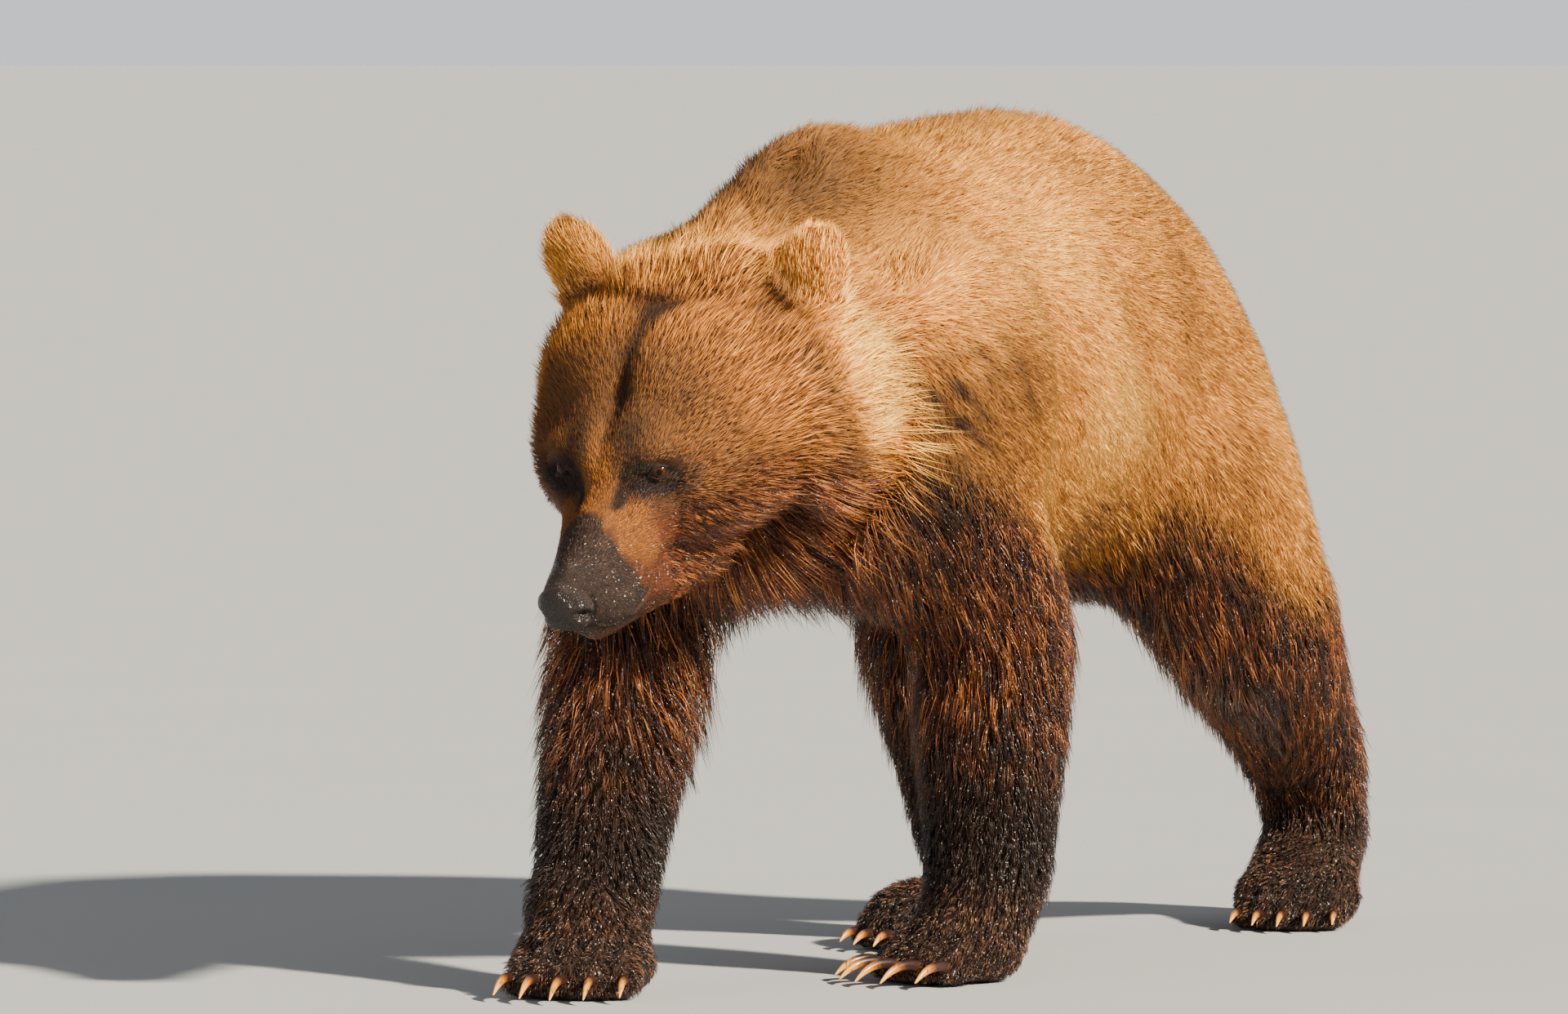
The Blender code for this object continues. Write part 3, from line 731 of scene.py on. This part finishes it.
def coatFinish(name, bumpStrength, **constants):
    # the coat's colour and bumps, and what its roughness is made from
    f = Finish(name, **constants)
    along, shade = f.attribute("along"), f.attribute("shade")
    wet, dark, pale, rust, grey, nose = (f.attribute(k) for k in markNames)
    where = f.place()
    patches = f.noise(where, 9.0, 4.0, 0.6)
    fine = f.noise(where, 700.0, 2.0)
    values = {"Vector": where, "Scale": 340.0}
    pores = f.node("ShaderNodeTexVoronoi", {"feature": "DISTANCE_TO_EDGE"}, values, "Distance")
    vary = shade - 0.5
    gold = f.mix((along + vary * 0.6).between(0.0, 0.75), coatColours["goldRoot"], coatColours["gold"])
    light = f.mix((along + vary * 0.5).between(0.0, 0.85), coatColours["gold"], coatColours["pale"])
    dry = f.mix((pale + (patches - 0.5) * 0.7 + vary * 0.5).between(0.15, 0.95), gold, light)
    dry = f.mix((pale + along * 0.3 + vary * 0.3).between(0.85, 1.35), dry, coatColours["cream"])
    strand = rust * 0.40 + along * 0.22 + shade * shade * shade * 0.95
    soaked = f.mix(strand.between(0.20, 0.85), coatColours["brown"], coatColours["rust"])
    soaked = f.mix(strand.between(0.85, 1.30), soaked, coatColours["amber"])
    colour = f.mix((wet + (patches - 0.5) * 0.25 + vary * 0.3).between(0.15, 0.75), dry, soaked)
    deep = f.mix((dark + wet * 0.5).between(0.5, 1.2), coatColours["umber"], coatColours["dark"])
    deepShare = dark + vary * (0.30 + dark * 0.6) + (patches - 0.5) * 0.25 - along * 0.15
    colour = f.mix(deepShare.between(0.10, 0.90), colour, deep)
    sooty = (shade * 1.3 + (patches - 0.5) * 0.5).between(0.45, 1.15)
    muzzle = f.mix(sooty, coatColours["soot"], coatColours["grey"])
    colour = f.mix((grey + vary * 0.3).between(0.2, 0.8), colour, muzzle)
    # painted highlight: pale specks in the wet coat's colour stand in for the lamp's glints on wet hair
    paintedGlints = (f.noise(where, 330.0, 1.0) + wet * 0.06 - 0.06).between(0.700, 0.720)
    colour = f.mix(paintedGlints * wet * (1.0 - dark * 0.6), colour, coatColours["paintedGlint"])
    # on the nose, painted shade darkens the nostrils
    colour = f.mix(nose, colour, f.mix(dark.between(0.5, 1.0), coatColours["nose"], coatColours["nostrilShade"]))
    values = {"Color": colour, "Value": 0.45 + shade * 0.98}
    tint = f.node("ShaderNodeHueSaturation", None, values, "Color")
    height = fine + nose * (pores * 3.5).between(0.0, 1.0) * 2.5
    parts = {"wet": wet, "grey": grey, "nose": nose, "fine": fine}
    return f, tint, f.bump(height, bumpStrength, 0.0012), parts


def hairFinish(name, bumpStrength, specular):
    f, tint, bumps, parts = coatFinish(name, bumpStrength, Specular_IOR_Level=specular, Coat_Roughness=0.12)
    wet, grey = parts["wet"], parts["grey"]
    roughness = 0.66 - wet * 0.32 - grey * 0.20
    return f.feed(Base_Color=tint, Roughness=roughness, Coat_Weight=wet * 0.5 + grey * 0.3, Normal=bumps)


def skinMaterial():  # under the coat the skin only fills in; the nose is wet
    f, tint, bumps, parts = coatFinish("coatSkin", 0.5, Specular_IOR_Level=0.32)
    roughness = 0.95 - parts["nose"] * 0.66 + (parts["fine"] - 0.5) * 0.25
    return f.feed(Base_Color=tint, Roughness=roughness, Normal=bumps)


dryFinish = hairFinish("dryHair", 0.10, 0.16)
wetFinish = hairFinish("wetHair", 0.60, 0.24)
skinFinish = skinMaterial()

skinPoints = readPoints(skin.data)
skinMarks = markings(skinPoints)
# painted shade in the nostrils, where their openings lie in shade
nostrilShadeMask = alongPath(mirrored(skinPoints), facePaths["nostril"], 0.0032)
skinMarks["dark"] = np.maximum(skinMarks["dark"] * (1 - skinMarks["nose"]), 1.3 * nostrilShadeMask)
for key in markNames:
    writeAttribute(skin.data, key, skinMarks[key])
writeAttribute(skin.data, "along", np.full(len(skinPoints), 0.12))
writeAttribute(skin.data, "shade", 0.40 + 0.04 * ripple(skinPoints, 0.02, 31))
skin.data.materials.append(skinFinish)
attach(skin, "root")
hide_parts(*fleshNames)

# coat: tufts planted on the skin
skin.data.calc_loop_triangles()
corners = np.empty(len(skin.data.loop_triangles) * 3, np.int32)
skin.data.loop_triangles.foreach_get("vertices", corners)
corners = corners.reshape(-1, 3)
skinNormals = readPoints(skin.data, "normal")

# which solid each skin triangle belongs to, so that the coat can be laid part by part
tree = KDTree(sum(len(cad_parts[n].data.polygons) for n in fleshNames))
owners = []
for order, name in enumerate(fleshNames):
    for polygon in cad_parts[name].data.polygons:
        tree.insert(polygon.center, len(owners))
        owners.append(order)
tree.balance()
middles = skinPoints[corners].mean(1)
owner = np.array([owners[tree.find(m)[1]] for m in middles])
edgeA = skinPoints[corners[:, 1]] - skinPoints[corners[:, 0]]
edgeB = skinPoints[corners[:, 2]] - skinPoints[corners[:, 0]]
areas = np.linalg.norm(np.cross(edgeA, edgeB), axis=1) / 2

coatAmount = {
    "cover": 1.0, "dry": 2.5, "wet": 2.9,  # how many hairs deep the coat lies
    "most": 650000,  # hairs on a square metre
    "damp": 0.45, "short": 0.012,  # from here on hair is wet; short wet hair stays in spikes
    "lengths": (0.72, 1.22), "widths": (0.75, 1.25), "lifts": (math.radians(4), math.radians(55)),
    "dryClump": 0.0052, "wetClump": {"head": 0.0068, "forepaw": 0.0075, "hindpaw": 0.0075, "body": 0.011},
    "patch": 0.003,  # each tuft's place on the map
    "piece": 190000,  # triangles at most in one piece
}


def bareShare(points):  # 0 where no hair grows
    local = mirrored(points)
    grows = 1 - ramp(local[:, 1], -0.158, -0.166) * (local[:, 2] > -0.106)
    grows *= ramp(nearPath(local, face["mouth"][0]), 0.003, 0.006)
    for sideName in sideSigns:
        reach, across, up, ahead = eyeAngles(points, sideName)
        wide, tall = face["opening"]
        gap = np.sqrt((across / wide) ** 2 + (up / tall) ** 2)
        grows *= np.where((reach < 0.03) & (ahead < 1.6), ramp(gap, 1.25, 1.7), 1)
    return grows * (points[:, 2] > 0.006)


spike = {  # root ring of three and a tip
    "faces": ((0, 1, 3), (1, 2, 3), (2, 0, 3), (2, 1, 0)),
    "patch": ((-0.5, 0), (0, 0), (0, 1), (0, 0), (0.5, 0), (0, 1), (0.5, 0), (-0.5, 0), (0, 1),
              (0.5, 0), (0, 0.35), (-0.5, 0)),
}
lock = {  # root ring, bent waist and a tip
    "faces": ((0, 1, 4), (0, 4, 3), (1, 2, 5), (1, 5, 4), (2, 0, 3), (2, 3, 5),
              (3, 4, 6), (4, 5, 6), (5, 3, 6), (2, 1, 0)),
    "patch": ((-0.5, 0), (0, 0), (0, 0.5), (-0.5, 0), (0, 0.5), (-0.4, 0.5),
              (0, 0), (0.5, 0), (0.4, 0.5), (0, 0), (0.4, 0.5), (0, 0.5),
              (0.5, 0), (-0.5, 0), (-0.4, 0.5), (0.5, 0), (-0.4, 0.5), (0.4, 0.5),
              (-0.4, 0.5), (0, 0.5), (0, 1), (0, 0.5), (0.4, 0.5), (0, 1), (0.4, 0.5), (-0.4, 0.5), (0, 1),
              (0.5, 0), (0, 0.35), (-0.5, 0)),
}


def gatherClumps(roots, spacing, seed):
    # each tuft's tip is drawn to the tip of the nearest leading tuft, one to a cell of space
    rng = np.random.default_rng(seed)
    cells = np.floor(roots / spacing).astype(int)
    keys = cells[:, 0] * 73856093 ^ cells[:, 1] * 19349663 ^ cells[:, 2] * 83492791
    order = rng.permutation(len(roots))
    _, first = np.unique(keys[order], return_index=True)
    leaders = order[first]
    near = KDTree(len(leaders))
    for index, leader in enumerate(leaders):
        near.insert(roots[leader], index)
    near.balance()
    return leaders[np.array([near.find(r)[1] for r in roots])]


def tuftWidth(points, marks):
    local = toHead(points)
    onHead = np.interp(local[:, 1], (-0.15, -0.02, 0.06, 0.20), (0.0008, 0.0009, 0.0012, 0.0016))
    onBody = blend(coat["dryWidth"], coat["wetWidth"], marks["wet"])
    onBody = onBody * np.interp(points[:, 2], (0.0, 0.06, 0.16), (0.85, 0.90, 1.0))
    return blend(onBody, onHead, marks["head"])


def unwrap(roots, axis):
    # rolls the part's surface out flat round its own axis
    origin, along, across = (np.array(v, float) for v in axis)
    along = unit(along)
    across = unit(across - along * (across @ along))
    third = np.cross(along, across)
    away = roots - origin
    height = away @ along
    turn = np.arctan2(away @ third, away @ across) / (2 * math.pi) + 0.5
    span = (height - height.min()) / max(np.ptp(height), 1e-6)
    return np.c_[turn, span] * 0.99 + 0.005


def plant(name, names, chosen, kind, axis, seed):
    rng = np.random.default_rng(seed)
    tris = np.flatnonzero(chosen)
    marks = markings(middles[tris])
    length = coatLength(middles[tris], marks)
    width = tuftWidth(middles[tris], marks)
    deep = blend(coatAmount["dry"], coatAmount["wet"], marks["wet"])
    deep = deep * (1 + 0.3 * marks["grey"] * marks["head"])
    deep = deep * np.interp(middles[tris][:, 2], (0.10, 0.25), (0.72, 1.0))
    density = coatAmount["cover"] * deep / (length * width) * bareShare(middles[tris])
    weight = areas[tris] * np.minimum(density, coatAmount["most"])
    damp = marks["wet"] + 0.22 * ripple(middles[tris], 0.012, 51) > coatAmount["damp"]
    damp = damp | (marks["grey"] > 0.5)
    short = length < coatAmount["short"]
    weight = weight * {"coat": ~damp, "damp": damp & short, "locks": damp & ~short}[kind]
    style = lock if kind == "locks" else spike
    total = np.cumsum(weight)
    count = int(total[-1]) if len(total) else 0
    if count < 20:
        return []
    spots = (np.arange(count) + rng.random(count)) * total[-1] / count
    owned = tris[np.minimum(np.searchsorted(total, spots), len(tris) - 1)]
    a, b = rng.random((2, count))
    flip = a + b > 1
    a[flip], b[flip] = 1 - a[flip], 1 - b[flip]
    shares = np.c_[1 - a - b, a, b]
    roots = (skinPoints[corners[owned]] * shares[:, :, None]).sum(1)
    normals = unit((skinNormals[corners[owned]] * shares[:, :, None]).sum(1))
    marks = markings(roots)
    length = coatLength(roots, marks) * rng.uniform(*coatAmount["lengths"], count)
    width = tuftWidth(roots, marks) * rng.uniform(*coatAmount["widths"], count)
    lift = np.radians(coatLift(roots, marks) + rng.normal(0, 5, count))
    lift = np.clip(lift, *coatAmount["lifts"])
    flow = coatFlow(roots, normals, marks)
    side = np.cross(flow, normals)
    veer = rng.normal(0, 0.16, count)[:, None]
    flow = unit(flow + side * veer)
    side = np.cross(flow, normals)
    along = flow * np.cos(lift)[:, None] + normals * np.sin(lift)[:, None]
    tips = roots + along * length[:, None]
    thick = np.cross(side, along)
    shade = rng.random(count)
    if style is spike:
        leaders = gatherClumps(roots, coatAmount["dryClump"], seed + 2)
        gathered = ramp(length, 0.005, 0.014) * (1 - 0.45 * marks["head"])
        tips = blend(tips, tips[leaders], 0.24 * gathered)
        shade = blend(shade, shade[leaders], 0.10 + 0.45 * gathered)
    base = roots - normals * (0.6 * width + 0.04 * length)[:, None]
    if style is lock:
        steep = np.minimum(lift * 1.5, math.radians(60))
        start = flow * np.cos(steep)[:, None] + normals * np.sin(steep)[:, None]
        waist = roots + start * (0.5 * length)[:, None]
        sizes = coatAmount["wetClump"]
        leaders = gatherClumps(roots, sizes.get(names[0].split("_")[0], sizes["body"]), seed + 1)
        shade = np.clip(0.5 + 1.5 * (blend(shade, shade[leaders], 0.65) - 0.5), 0, 1)
        pull = 0.80 * ramp(marks["wet"], 0.3, 0.8) * ramp(length, 0.006, 0.022)
        tips = blend(tips, tips[leaders] + rng.normal(0, 0.0012, (count, 3)), pull)
        tips[:, 2] -= 0.16 * length * marks["wet"] * ramp(roots[:, 2], 0.1, 0.3)
        waist = blend(waist, (waist + waist[leaders]) / 2, pull * 0.7)
    tips[:, 2] = np.maximum(tips[:, 2], 0.0015)
    ring = [(side * math.cos(t) + thick * 0.6 * math.sin(t)) * (width / 2)[:, None]
            for t in (math.pi * 7 / 6, math.pi / 2, -math.pi / 6)]
    layers = [base + r for r in ring]
    levels = [0.0, 0.0, 0.0]
    if style is lock:
        layers += [waist + r * 0.85 for r in ring]
        levels += [0.5, 0.5, 0.5]
    layers.append(tips)
    levels.append(1.0)
    finish = dryFinish if kind == "coat" else wetFinish
    return buildTufts(name, style, finish, np.stack(layers, 1), levels, roots, marks, axis, shade)


def buildTufts(name, style, finish, points, levels, roots, marks, axis, shade):
    made = []
    most = coatAmount["piece"] // len(style["faces"])
    pieces = math.ceil(len(points) / most)
    order = np.argsort(roots[:, 0] + 0.001 * roots[:, 1], kind="stable")
    where = unwrap(roots, axis)
    for number, part in enumerate(np.array_split(order, pieces), 1):
        label = name if pieces == 1 else f"{name}_{number}"
        own = points[part]
        count, each = own.shape[:2]
        faces = np.array(style["faces"])
        loops = (faces.ravel()[None] + (np.arange(count) * each)[:, None]).ravel()
        mesh = bpy.data.meshes.new(label)
        mesh.vertices.add(count * each)
        mesh.vertices.foreach_set("co", own.astype(np.float32).ravel())
        mesh.loops.add(len(loops))
        mesh.loops.foreach_set("vertex_index", loops.astype(np.int32))
        mesh.polygons.add(len(loops) // 3)
        mesh.polygons.foreach_set("loop_start", np.arange(0, len(loops), 3, dtype=np.int32))
        mesh.polygons.foreach_set("use_smooth", np.ones(len(loops) // 3, bool))
        layer = mesh.uv_layers.new(name="OFBake")
        patch = where[part][:, None] + np.array(style["patch"])[None] * coatAmount["patch"]
        layer.uv.foreach_set("vector", patch.astype(np.float32).ravel())
        writeAttribute(mesh, "along", np.tile(levels, count))
        writeAttribute(mesh, "shade", np.repeat(shade[part], each))
        for key in markNames:
            writeAttribute(mesh, key, np.repeat(marks[key][part], each))
        mesh.update()
        mesh.validate()
        mesh.materials.append(finish)
        obj = putOut(label, mesh)
        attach(obj, "root")
        made.append(obj)
    return made


def centreOf(names):
    picked = np.concatenate([np.array([v.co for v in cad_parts[n].data.vertices]) for n in names])
    return (picked.min(0) + picked.max(0)) / 2


headForward, headUp = headAxes[:, 1], headAxes[:, 2]
coatParts = {
    "Head": (("head", "jaw", "nose"), headForward, headUp),
    "EarLeft": (("ear_left",), headUp, headForward),
    "EarRight": (("ear_right",), headUp, headForward),
    "Neck": (("neck",), (0, 1, 0), (0, 0, 1)),
    "Trunk": (("trunk", "tail"), (0, 1, 0), (0, 0, 1)),
}
for sideName in ("Left", "Right"):
    low = sideName.lower()
    coatParts[f"ForeLeg{sideName}"] = ((f"foreleg_{low}",), (0, 0, 1), (0, 1, 0))
    coatParts[f"HindLeg{sideName}"] = ((f"hindleg_{low}",), (0, 0, 1), (0, 1, 0))
    coatParts[f"ForePaw{sideName}"] = ((f"forepaw_{low}",), (0, 0, 1), (0, 1, 0))
    coatParts[f"HindPaw{sideName}"] = ((f"hindpaw_{low}",), (0, 0, 1), (0, 1, 0))

tuftTriangles = 0
for seed, (part, (names, along, across)) in enumerate(coatParts.items(), 100):
    mine = np.isin(owner, [fleshNames.index(n) for n in names])
    axis = (centreOf(names), along, across)
    grown = []
    for kind in ("coat", "damp", "locks"):
        grown += plant(kind + part, names, mine, kind, axis, seed + 50 * len(grown))
    size = sum(len(obj.data.polygons) for obj in grown)
    tuftTriangles += size
    print("coat", part, len(grown), "pieces", size, "triangles")
print("coat:", tuftTriangles, "triangles in all")

# the roots needed a fine skin; what is left to see needs fewer faces
finishWith(skin, "DECIMATE", ratio=skinLook["kept"])
skin.data.calc_loop_triangles()
print("skin left:", len(skin.data.loop_triangles), "triangles")


# eyes: glossy balls with an amber iris
def makeEye(sideName):
    gaze = Vector(gazeOf(sideName))
    deselectAll()
    bpy.ops.mesh.primitive_uv_sphere_add(segments=48, ring_count=32, radius=eyeLook["radius"],
                                         location=(0, 0, 0))
    ball = bpy.context.object
    ball.name = f"eyeball_{sideName}"
    points = readPoints(ball.data)
    angle = np.arccos(np.clip(points[:, 2] / eyeLook["radius"], -1, 1))
    cornea = 1 + 0.035 * ramp(angle, 0.62, 0.2)
    points *= cornea[:, None]
    turn = np.array(gaze.to_track_quat("Z", "Y").to_matrix())
    writePoints(ball.data, points @ turn.T + eyeMiddles[sideName])
    writeAttribute(ball.data, "fromGaze", angle * eyeLook["radius"])
    pick(ball)
    bpy.ops.object.shade_smooth()
    ball.data.materials.append(eyeFinish)
    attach(ball, "root")
    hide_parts(f"eye_{sideName}")


def eyeMaterial():
    f = Finish("eyeGlass", Roughness=0.08, Specular_IOR_Level=0.12)
    out = f.attribute("fromGaze")
    where = f.place()
    rays = f.noise(where, 900.0, 2.0)
    iris = f.mix((rays + (out * 90.0)).between(0.35, 1.15), eyeLook["dark"], eyeLook["light"])
    inPupil = out.between(eyeLook["pupil"] - 0.0003, eyeLook["pupil"] + 0.0003)
    pastIris = out.between(eyeLook["iris"] - 0.0008, eyeLook["iris"] + 0.0004)
    colour = f.mix(pastIris, f.mix(inPupil, eyeLook["black"], iris), eyeLook["edge"])
    return f.feed(Base_Color=colour)


eyeFinish = eyeMaterial()
for sideName in sideSigns:
    makeEye(sideName)
print("eyes done")


# claws: curved horn, dark at the root, amber along the blade
clawLook = {
    "horn": (0.46, 0.140, 0.010), "tip": (0.74, 0.36, 0.060), "root": (0.022, 0.009, 0.006),
    "streak": (0.070, 0.020, 0.007), "fuller": 0.0010,
}


def clawMaterial():
    f = Finish("clawHorn", Specular_IOR_Level=0.30, Coat_Weight=0.15, Coat_Roughness=0.12)
    along, where = f.attribute("along"), f.place()
    drawnOut = f.node("ShaderNodeMapping", None, {"Vector": where, "Scale": (1.0, 0.22, 0.22)}, "Vector")
    streaks = f.noise(drawnOut, 420.0, 3.0, 0.6)
    horn = f.mix((along + (streaks - 0.5) * 0.5).between(0.35, 0.95), clawLook["horn"], clawLook["tip"])
    horn = f.mix((streaks * 0.9 - along * 0.15).between(0.36, 0.52) * 0.9, horn, clawLook["streak"])
    colour = f.mix((along + (streaks - 0.5) * 0.45).between(0.18, 0.56), clawLook["root"], horn)
    return f.feed(Base_Color=colour, Roughness=0.22 + streaks * 0.25, Normal=f.bump(streaks, 0.15, 0.0004))


clawFinish = clawMaterial()


def makeClaw(name):
    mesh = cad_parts[name].data.copy()
    mesh.name = name.replace("claw_", "horn_")
    claw = putOut(mesh.name, mesh)
    pick(claw)
    bpy.ops.object.mode_set(mode="EDIT")
    bpy.ops.mesh.select_all(action="SELECT")
    bpy.ops.mesh.remove_doubles(threshold=0.00005)
    bpy.ops.mesh.tris_convert_to_quads()
    bpy.ops.object.mode_set(mode="OBJECT")
    finishWith(claw, "SUBSURF", levels=2, render_levels=2)
    points = readPoints(mesh)
    rootEnd = thickEnd(points)
    reach = np.linalg.norm(points - rootEnd, axis=1)
    fuller = clawLook["fuller"] * ramp(reach / reach.max(), 1.0, 0.5)
    points = points + readPoints(mesh, "normal") * fuller[:, None]
    points[:, 2] = np.maximum(points[:, 2], 0)
    writePoints(mesh, points)
    mesh.materials.clear()
    mesh.materials.append(clawFinish)
    writeAttribute(mesh, "along", reach / reach.max())
    bpy.ops.object.shade_smooth()
    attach(claw, "root")
    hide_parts(name)


for name in sorted(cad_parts):
    if name.startswith("claw"):
        makeClaw(name)
print("claws done")


# floor, light and camera
studio = {
    "floor": (0.37, 0.37, 0.37), "floorPatches": (0.39, 0.39, 0.39),
    "sky": (0.84, 0.88, 0.92), "horizon": 1.0, "above": 0.36,
    "sun": 13.9, "sunColour": (1.0, 0.92, 0.76), "fill": 125, "fillColour": (0.90, 0.95, 1.0),
    "cameraAt": (6.5254, -12.6450, 1.1920), "cameraTurn": (87.469, 0, 28.0), "lens": 265.1,
}


def makeFloor():
    deselectAll()
    bpy.ops.mesh.primitive_plane_add(size=400, location=(0, 0, 0))
    floor = bpy.context.object
    floor.name = "floor"
    f = Finish("paleFloor", Roughness=0.85)
    grey = f.mix(f.noise(f.place(), 1.5), studio["floor"], studio["floorPatches"])
    floor.data.materials.append(f.feed(Base_Color=grey))
    floor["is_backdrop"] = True


def lamp(kind, name, at, aim, size, strength, colour):
    made = bpy.data.lights.new(name, kind)
    made.energy, made.color = strength, colour
    if kind == "SUN":
        made.angle = math.radians(size)
    else:
        made.shape, made.size = "SQUARE", size
    obj = putOut(name, made)
    obj.location = at
    obj.rotation_euler = (Vector(aim) - Vector(at)).to_track_quat("-Z", "Y").to_euler()


def makeSky():  # paler near the horizon, so that the floor runs into it
    world = bpy.data.worlds.new("studio")
    bpy.context.scene.world = world
    world.use_nodes = True
    nodes, links = world.node_tree.nodes, world.node_tree.links
    place = nodes.new("ShaderNodeTexCoord")
    height = nodes.new("ShaderNodeSeparateXYZ")
    fade = nodes.new("ShaderNodeMapRange")
    fade.interpolation_type = "SMOOTHSTEP"
    links.new(place.outputs["Generated"], height.inputs["Vector"])
    links.new(height.outputs["Z"], fade.inputs["Value"])
    for key, value in {"From Min": 0.03, "From Max": 0.30, "To Min": studio["horizon"],
                       "To Max": studio["above"]}.items():
        fade.inputs[key].default_value = value
    links.new(fade.outputs["Result"], nodes["Background"].inputs["Strength"])
    nodes["Background"].inputs["Color"].default_value = (*studio["sky"], 1)


makeFloor()
makeSky()
lamp("SUN", "keyLight", (8.0, -2.0, 5.2), (0, 0, 0), 3.0, studio["sun"], studio["sunColour"])
lamp("AREA", "fillLight", (-3.5, -6.5, 2.5), (0, 0, 0.5), 4.0, studio["fill"], studio["fillColour"])

lens = bpy.data.cameras.new("camera")
lens.lens, lens.sensor_width = studio["lens"], 36
lens.clip_end = 200
camera = putOut("camera", lens)
camera.location = studio["cameraAt"]
camera.rotation_euler = [math.radians(a) for a in studio["cameraTurn"]]
bpy.context.scene.camera = camera

low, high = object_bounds()
print("size:", [round(b - a, 4) for a, b in zip(low, high)])
